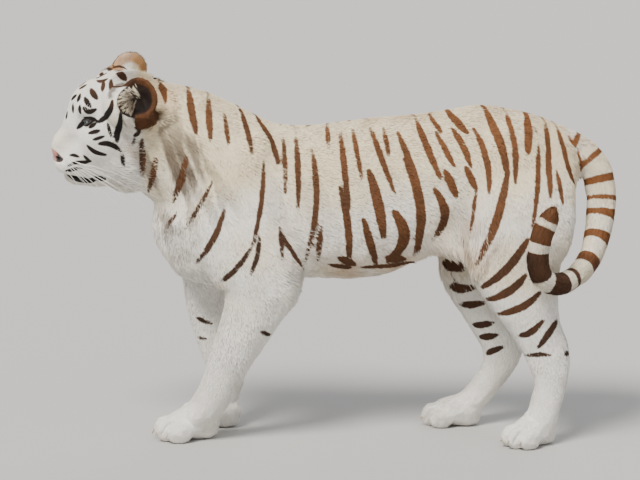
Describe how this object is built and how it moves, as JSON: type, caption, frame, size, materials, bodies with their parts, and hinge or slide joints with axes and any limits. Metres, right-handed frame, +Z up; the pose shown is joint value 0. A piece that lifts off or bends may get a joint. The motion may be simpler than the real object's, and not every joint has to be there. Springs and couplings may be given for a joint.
{
  "type": "white tiger",
  "caption": "Life-size white tigress standing still, head level and turned slightly to her left, hind legs astride, tail curled round her left thigh.",
  "frame": {"origin": "bottom centre of the box around the whole animal, on the floor under the middle of the trunk", "axes": "+X from the nose towards the tail, +Y towards the tigress's right side, +Z up"},
  "size_m": [1.5816, 0.4846, 1.0791],
  "materials": {
    "coat": "short dense fur, warm white with brown stripes",
    "ear": "short fur, pale hair inside and brown behind",
    "eye": "wet, clear",
    "nose": "bare damp skin"
  },
  "bodies": {
    "root": {"trunk": "coat", "neck": "coat", "head": "coat", "ear_left": "ear", "ear_right": "ear", "eye_left": "eye", "eye_right": "eye", "nose": "nose", "tail_root": "coat", "tail_middle": "coat", "tail_bend": "coat", "tail_tip": "coat", "foreleg_left": "coat", "foreleg_right": "coat", "forepaw_left": "coat", "forepaw_right": "coat", "thigh_left": "coat", "thigh_right": "coat", "shank_left": "coat", "shank_right": "coat", "hindpaw_left": "coat", "hindpaw_right": "coat"}
  },
  "joints": []
}
